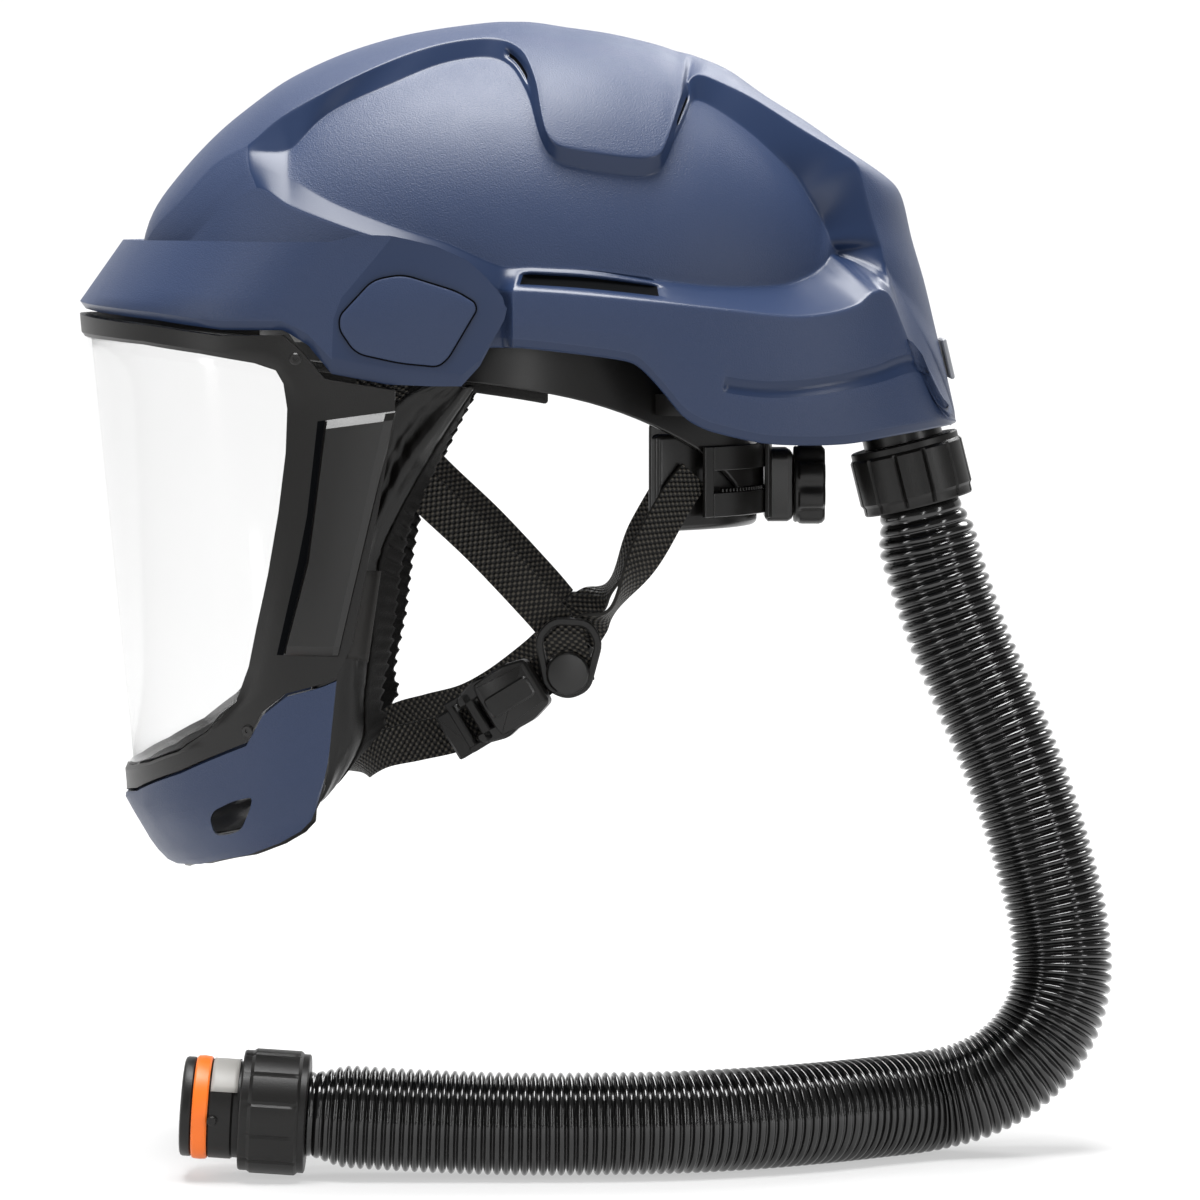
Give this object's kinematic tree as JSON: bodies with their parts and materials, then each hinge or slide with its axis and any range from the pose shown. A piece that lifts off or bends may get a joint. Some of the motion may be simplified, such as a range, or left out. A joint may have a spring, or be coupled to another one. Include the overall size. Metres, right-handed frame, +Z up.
{
  "type": "powered respirator helmet",
  "caption": "Hard safety helmet with a hinged clear face visor, fabric face seal, adjustable head cradle, chin strap and a ribbed breathing hose that ends in a ringed plug.",
  "frame": {"origin": "crown of the wearer's head, in the middle plane, where the cradle's straps cross", "axes": "+Z up, -X the way the face looks, +X towards the nape and the hose, -Y the wearer's left side"},
  "size_m": [0.4006, 0.2166, 0.4371],
  "materials": {
    "blue_polyamide": "fine textured, satin on the steps",
    "black_polyamide": "fine textured",
    "clear_polycarbonate": "clear",
    "black_seal_fabric": "coated",
    "black_webbing": "woven",
    "black_foam": "soft",
    "black_rubber": "glossy",
    "orange_rubber": "satin"
  },
  "bodies": {
    "helmet": {"shell": "blue_polyamide", "rear_cap": "black_polyamide", "duct_floor": "black_polyamide", "inlet_stub": "black_polyamide", "pivot_left": "black_polyamide", "pivot_right": "black_polyamide", "headband": "black_polyamide", "sweatband": "black_foam", "nape_pad": "black_foam", "ratchet_housing": "black_polyamide", "hanger_left_1": "black_polyamide", "hanger_left_2": "black_polyamide", "hanger_right_1": "black_polyamide", "hanger_right_2": "black_polyamide", "crown_strap_1": "black_webbing", "crown_strap_2": "black_webbing", "front_strap_left": "black_webbing", "front_strap_right": "black_webbing", "rear_strap_left": "black_webbing", "rear_strap_right": "black_webbing", "chin_strap": "black_webbing", "slider_left": "black_polyamide", "slider_right": "black_polyamide", "buckle_socket": "black_polyamide", "buckle_prongs": "black_polyamide", "strap_keeper": "black_polyamide", "upper_nut": "black_polyamide", "hose": "black_rubber", "lower_nut": "black_polyamide", "plug": "black_polyamide", "seal_ring": "orange_rubber"},
    "visor": {"brow_carrier": "blue_polyamide", "visor_frame": "black_polyamide", "lens": "clear_polycarbonate", "chin_cover": "blue_polyamide", "chin_base": "black_polyamide", "arm_cover_left": "blue_polyamide", "arm_cover_right": "blue_polyamide", "side_panel_left": "black_polyamide", "side_panel_right": "black_polyamide", "rivet_left_1": "black_polyamide", "rivet_left_2": "black_polyamide", "rivet_right_1": "black_polyamide", "rivet_right_2": "black_polyamide", "face_seal": "black_seal_fabric", "seal_elastic": "black_webbing"},
    "knob": {"knob": "black_polyamide"}
  },
  "joints": [
    {"name": "visor_hinge", "type": "hinge", "parent": "helmet", "child": "visor", "pos_m": [-0.03196, 0, -0.06996], "axis": [0, 1, 0], "range_deg": [0, 65]},
    {"name": "knob_turn", "type": "hinge", "parent": "helmet", "child": "knob", "pos_m": [0.10654, 0, -0.13992], "axis": [1, 0, 0], "range_deg": [-180, 180]}
  ]
}
